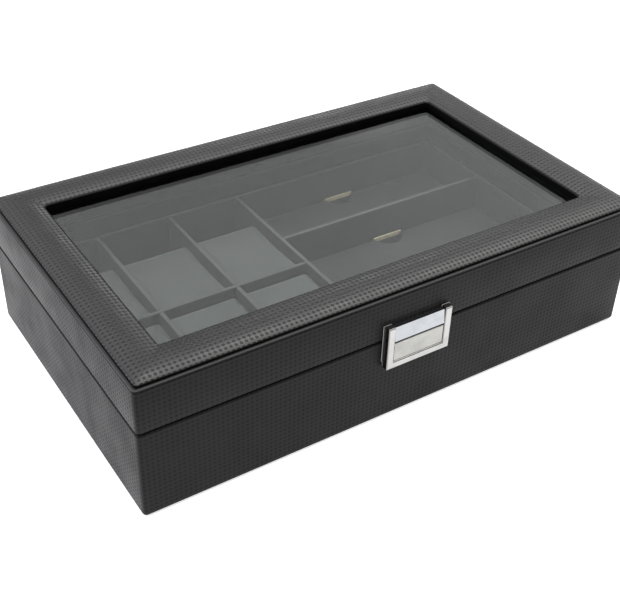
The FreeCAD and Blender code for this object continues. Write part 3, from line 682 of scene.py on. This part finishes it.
MAT_ROUND = 2.2
MAT_CORNER = 2.5
MAT_LEAST_CORNER = 0.4
MAT_FOOT = 0.8
MAT_CROWN = 0.6
NOTCH_RADIUS = 9.6
WEB_BELOW_TOP = 3.6
WEB_THICKNESS = 0.45
WEB_FROM_REAR = 0.3
WEB_OVERLAP = 1.0

# Insets from the rounded edge where the crown rises, with the share of its height still to rise
CROWN_STEPS = ((3.0, 0.4), (7.0, 0.0))

RIBBON_PLY = 0.42
RIBBON_BELOW_TOP = 0.6
RIBBON_COLUMNS = 12

# Half thickness of a tab at its foot and its waist, as shares of that at the fold
FOOT_SHARE = 0.9
WAIST_SHARE = 0.8


def mat_outline(low, high, inset, middle):
    """A mat seen from above: a rounded rectangle whose rear edge has a half-round finger notch."""
    corner = max(MAT_CORNER - inset, MAT_LEAST_CORNER)
    x0, y0 = low.x / MM + inset, low.y / MM + inset
    x1, y1 = high.x / MM - inset, high.y / MM - inset
    points = []
    centres = ((x1 - corner, y1 - corner), (x0 + corner, y1 - corner), (x0 + corner, y0 + corner),
               (x1 - corner, y0 + corner))
    notch = arc((middle / MM, high.y / MM), (NOTCH_RADIUS + inset, NOTCH_RADIUS + inset), 0.0, -180.0, 20)
    notch = [(x, min(y, y1)) for x, y in notch]
    for quarter, centre in enumerate(centres):
        points += arc(centre, (corner, corner), 90.0 * quarter, 90.0 * quarter + 90.0, 5)
        if quarter == 0:
            points += notch
    return points


def add_notch_web(mesh, low, high, middle):
    """The cloth that closes the notch at the rear, below the ribbon's bar."""
    width = (NOTCH_RADIUS * 2 + WEB_OVERLAP) * MM
    size = Vector((width, WEB_THICKNESS * MM, high.z - low.z - WEB_BELOW_TOP * MM))
    place = Vector((middle, high.y - WEB_FROM_REAR * MM, low.z + size.z / 2))
    made = bmesh.ops.create_cube(mesh, size=1.0)
    bmesh.ops.scale(mesh, vec=size, verts=made["verts"])
    bmesh.ops.translate(mesh, vec=place, verts=made["verts"])


def make_mats():
    """Padded mats: rounded edges, a slightly crowned top and the finger notch."""
    for number in range(1, MAT_COUNT + 1):
        name = f"glasses_mat_{number}"
        low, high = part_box(name)
        tab_low, tab_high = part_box(f"pull_tab_{number}")
        middle = (tab_low.x + tab_high.x) / 2
        base_z, top_z = low.z / MM, high.z / MM
        levels = [(MAT_FOOT, base_z), (0.0, base_z + MAT_FOOT)]
        for inset, rise in arc((MAT_ROUND, 0.0), (MAT_ROUND, MAT_ROUND), 180.0, 90.0, 5):
            levels.append((inset, top_z - MAT_CROWN - MAT_ROUND + rise))
        levels += [(MAT_ROUND + inset, top_z - MAT_CROWN * share) for inset, share in CROWN_STEPS]
        mesh = bmesh.new()
        rows = []
        for inset, height in levels:
            outline = mat_outline(low, high, inset, middle)
            rows.append([mesh.verts.new((x * MM, y * MM, height * MM)) for x, y in outline])
        bridge(mesh, rows)
        add_notch_web(mesh, low, high, middle)
        mat = finish_piece(f"{name}_cover", mesh, mat_cloth, name, smooth_angle=60.0)
        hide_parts(name)


def make_tabs():
    """Ribbon tabs across the notches: two plies folded over at the top, swelling a little at the fold."""
    for number in range(1, MAT_COUNT + 1):
        name = f"pull_tab_{number}"
        low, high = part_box(name)
        middle = (low.y + high.y) / 2 / MM
        base_z, top_z = low.z / MM, high.z / MM - RIBBON_BELOW_TOP
        half = (high.y - low.y) / 2 / MM
        foot, waist = half * FOOT_SHARE, half * WAIST_SHARE
        waist_z = (base_z + top_z) / 2
        section = [(middle + foot, base_z), (middle + waist, waist_z)]
        section += arc((middle, top_z - half), (half, half), 0.0, 180.0, 10)
        section += [(middle - waist, waist_z), (middle - foot, base_z)]
        slim = half - RIBBON_PLY
        section.append((middle - slim, base_z))
        section += arc((middle, top_z - half), (slim, slim), 180.0, 0.0, 10)
        section.append((middle + slim, base_z))
        mesh = bmesh.new()
        rows = []
        for column in range(RIBBON_COLUMNS + 1):
            x = low.x + (high.x - low.x) * column / RIBBON_COLUMNS
            rows.append([mesh.verts.new((x, y * MM, z * MM)) for y, z in section])
        bridge(mesh, rows)
        tab = finish_piece(f"{name}_ribbon", mesh, ribbon, f"glasses_mat_{number}",
                           smooth_angle=50.0)
        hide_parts(name)


# Felt under the base

FELT_COLUMNS = 44
FELT_ROWS = 27
FELT_SAG = 0.12
FELT_DENTS_TO_METRE = 160.0


def felt_grid(mesh, low, high, level, sag):
    """Rows of points over the felt's rectangle, dented upwards by up to sag."""
    grid = []
    for row in range(FELT_ROWS + 1):
        line = []
        for column in range(FELT_COLUMNS + 1):
            x = low.x + (high.x - low.x) * column / FELT_COLUMNS
            y = low.y + (high.y - low.y) * row / FELT_ROWS
            rough = noise.noise(Vector((x, y, 0.0)) * FELT_DENTS_TO_METRE)
            line.append(mesh.verts.new((x, y, level + sag * MM * abs(rough))))
        grid.append(line)
    return grid


def make_felt():
    """The felt sheet glued under the base: a flat upper face and a slightly uneven lower one."""
    low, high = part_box("base_felt")
    mesh = bmesh.new()
    upper = felt_grid(mesh, low, high, high.z, 0.0)
    lower = felt_grid(mesh, low, high, low.z, FELT_SAG)
    for row in range(FELT_ROWS):
        for column in range(FELT_COLUMNS):
            for grid in (upper, lower):
                near, far = grid[row], grid[row + 1]
                mesh.faces.new((near[column], near[column + 1], far[column + 1], far[column]))
    for row in range(FELT_ROWS):
        for column in (0, FELT_COLUMNS):
            top_edge = (upper[row][column], upper[row + 1][column])
            mesh.faces.new(top_edge + (lower[row + 1][column], lower[row][column]))
    for column in range(FELT_COLUMNS):
        for row in (0, FELT_ROWS):
            top_edge = (upper[row][column], upper[row][column + 1])
            mesh.faces.new(top_edge + (lower[row][column + 1], lower[row][column]))
    sheet = finish_piece("base_felt_sheet", mesh, felt, "base", smooth_angle=50.0)
    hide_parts("base_felt")


# Carried-over CAD nodes: their materials, and how far their sharp edges are rounded

EDGE_SOFTENING = {"lining": 0.7, "chrome": 0.35, "steel": 0.25, "board": 0.3, "glass": 0.4}
SLOT_MATERIALS = {"lining": lining, "board": board, "glass": glass, "chrome": chrome, "steel": steel}
NODE_MATERIALS = {"clasp_button": satin, "clasp_catch": bright, "clasp_back_plate": plate}
NODE_SOFTENING = {"clasp_button": 0.0, "clasp_catch": 0.0, "clasp_housing": 0.25, "clasp_back_plate": 0.45}
for side in SIDES:
    NODE_MATERIALS[f"glass_retainer_{side}"] = black_lining
    NODE_MATERIALS[f"lid_{side}_wall"] = dark_lining
    NODE_MATERIALS[f"base_{side}_wall"] = rim_lining
WELD_DISTANCE = 0.002
SHARP_ANGLE = 40.0


def soften(node, width):
    """Rounds a CAD node's sharp edges a little, by modifiers."""
    weld = node.modifiers.new("weld", "WELD")
    weld.merge_threshold = WELD_DISTANCE * MM
    bevel = node.modifiers.new("soft_edges", "BEVEL")
    bevel.width = width * MM
    bevel.segments = 3
    bevel.limit_method = "ANGLE"
    bevel.angle_limit = math.radians(SHARP_ANGLE)
    bevel.harden_normals = True


def dress_nodes():
    """Materials and soft edges for the CAD nodes that no soft piece replaces."""
    slots = {part["node"]: part["material_slot"] for part in frame["record"]["subparts"]}
    for name, node in nodes.items():
        slot = slots[name]
        if slot not in SLOT_MATERIALS:
            continue
        node.data.materials.clear()
        node.data.materials.append(NODE_MATERIALS.get(name, SLOT_MATERIALS[slot]))
        width = NODE_SOFTENING.get(name, EDGE_SOFTENING[slot])
        if width:
            soften(node, width)


# Stage

# Camera, solved from the box's corners in a 620 by 593 picture; angles are in degrees
IMAGE_WIDTH = 620
FOCAL_PIXELS = 1066.95
SENSOR_WIDTH = 36.0
CAMERA_AZIMUTH = -33.60
CAMERA_ELEVATION = 35.857
CAMERA_ROLL = 1.802
CAMERA_DISTANCE = 657.03
CAMERA_TARGET = (-7.968, -7.944, 23.344)
CLIP_START = 10.0

# Floor: its half width in metres, its grey, and the light that lifts it to white
FLOOR_REACH = 6.0
FLOOR_LEVEL = 0.8
FLOOR_LIFT = 0.62

# Light levels of the studio round the box, and gains on them
HORIZON_LEVEL = 0.3
OVERHEAD_LEVEL = 0.58
ZENITH_GAIN = 2.2
FRONT_LEVEL = 0.3
LEFT_LEVEL = 2.15
RIGHT_LEVEL = 0.97
FAR_RIGHT_GAIN = 1.3
BAND_GAIN = 1.7
GLOW_LEVEL = 3.4
LEFT_TINT = (0.89, 0.88, 1.0, 1.0)

# Fades along one axis of the direction: from, to, and the levels before and after
STUDIO_FADES = (
    ("Z", 0.36, 0.58, HORIZON_LEVEL, OVERHEAD_LEVEL),
    ("Z", 0.64, 0.88, 1.0, ZENITH_GAIN),
    ("Y", -0.9, 0.1, FRONT_LEVEL, 1.0),
    ("X", 0.0, 0.35, LEFT_LEVEL, RIGHT_LEVEL),
    ("X", 0.48, 0.6, 1.0, FAR_RIGHT_GAIN),
)
BAND_FADES = (
    ("Y", 0.1, 0.25, 0.0, BAND_GAIN),
    ("Y", 0.48, 0.61, 1.0, 0.0),
    ("X", 0.15, 0.3, 0.0, 1.0),
)
GLOW_FADES = (
    ("Z", 0.40, 0.47, GLOW_LEVEL, 0.0),
    ("Z", 0.25, 0.34, 0.0, 1.0),
    ("Y", 0.68, 0.75, 0.0, 1.0),
    ("X", 0.36, 0.44, 0.0, 1.0),
    ("X", 0.58, 0.66, 1.0, 0.0),
)
BACKDROP_FADE = ("Z", 0.02, 0.12, 1.0, 0.0)
TINT_FADE = ("X", -0.8, -0.2, 1.0, 0.0)


def make_camera():
    """The photo's camera: it looks at its target from an azimuth and elevation, with a little roll."""
    azimuth, elevation = math.radians(CAMERA_AZIMUTH), math.radians(CAMERA_ELEVATION)
    roll = math.radians(CAMERA_ROLL)
    back = Vector((math.sin(azimuth) * math.cos(elevation), -math.cos(azimuth) * math.cos(elevation),
                   math.sin(elevation)))
    level = (-back).cross(Vector((0, 0, 1))).normalized()
    upright = level.cross(-back)
    right = math.cos(roll) * level + math.sin(roll) * upright
    up = -math.sin(roll) * level + math.cos(roll) * upright
    place = Vector(CAMERA_TARGET) * MM + back * CAMERA_DISTANCE * MM
    data = bpy.data.cameras.new("camera")
    data.sensor_fit = "HORIZONTAL"
    data.sensor_width = SENSOR_WIDTH
    data.lens = FOCAL_PIXELS * SENSOR_WIDTH / IMAGE_WIDTH
    data.clip_start = CLIP_START * MM
    camera = place_object("camera", data)
    camera.matrix_world = Matrix.Translation(place) @ Matrix((right, up, back)).transposed().to_4x4()
    bpy.context.scene.camera = camera


def make_lamp(name, place, aim, size, watts, colour):
    """A round area lamp; place, aim and size are in metres."""
    data = bpy.data.lights.new(name, "AREA")
    data.shape = "DISK"
    data.size = size
    data.energy = watts
    data.color = colour
    lamp = place_object(name, data)
    lamp.location = place
    lamp.rotation_euler = (Vector(aim) - Vector(place)).to_track_quat("-Z", "Y").to_euler()


def make_floor():
    """A pale floor that keeps the shadow; the camera, metal and glass see it lifted to white."""
    mesh = bmesh.new()
    bmesh.ops.create_grid(mesh, x_segments=1, y_segments=1, size=FLOOR_REACH)
    floor = mesh_object("floor", mesh)
    g = material_graph("floor_white")
    rays = g.node("ShaderNodeLightPath").outputs
    seen = rays["Is Camera Ray"]
    for kind in ("Is Glossy Ray", "Is Transmission Ray"):
        seen = g.math("MAXIMUM", seen, rays[kind])
    g.set(Base_Color=grey(FLOOR_LEVEL), Roughness=0.9, Specular_IOR_Level=0.0)
    g.set(Emission_Color=grey(1.0), Emission_Strength=g.math("MULTIPLY", seen, FLOOR_LIFT))
    floor.data.materials.append(g.owner)


def make_world():
    """A studio that is dim near the horizon and behind the camera, and brighter overhead and to the left.

    A band to the right and one glow behind the box, on the right, are brighter too. The camera, and
    rays through the glass, see it all white. Gloss sees the backdrop at the horizon white, and the
    studio's own light above it.
    """
    g = Graph(bpy.data.worlds.new("studio"), "Background")
    toward = g.split(g.place("Generated"))

    def fade(axis, *steps):
        return g.ramp(toward[axis], *steps)

    def product(fades):
        total = fade(*fades[0])
        for steps in fades[1:]:
            total = g.math("MULTIPLY", total, fade(*steps))
        return total

    level = product(STUDIO_FADES)
    level = g.math("ADD", level, g.math("MULTIPLY", level, product(BAND_FADES)))
    level = g.math("ADD", level, product(GLOW_FADES))
    rays = g.node("ShaderNodeLightPath").outputs
    backdrop = g.math("MULTIPLY", fade(*BACKDROP_FADE), rays["Is Glossy Ray"])
    level = g.math("MAXIMUM", level, backdrop)
    seen = g.math("MAXIMUM", rays["Is Camera Ray"], rays["Is Transmission Ray"])
    tinted = g.math("SUBTRACT", fade(*TINT_FADE), seen)
    g.set(Strength=g.math("MAXIMUM", level, seen), Color=g.mix(tinted, grey(1.0), LEFT_TINT))
    bpy.context.scene.world = g.owner


make_skins()
make_cover()
make_cushions()
make_mats()
make_tabs()
make_felt()
dress_nodes()
make_camera()
make_floor()
make_world()
make_lamp("key", place=(-1.0, 0.45, 0.30), aim=(-0.3, 0.1, 0.0), size=0.5, watts=4.0,
          colour=(0.89, 0.88, 1.0))
make_lamp("top", place=(0.5, -0.2, 1.15), aim=(0, 0, 0.04), size=1.5, watts=9.0,
          colour=(1.0, 0.97, 0.94))

bpy.context.scene.view_settings.view_transform = "Standard"
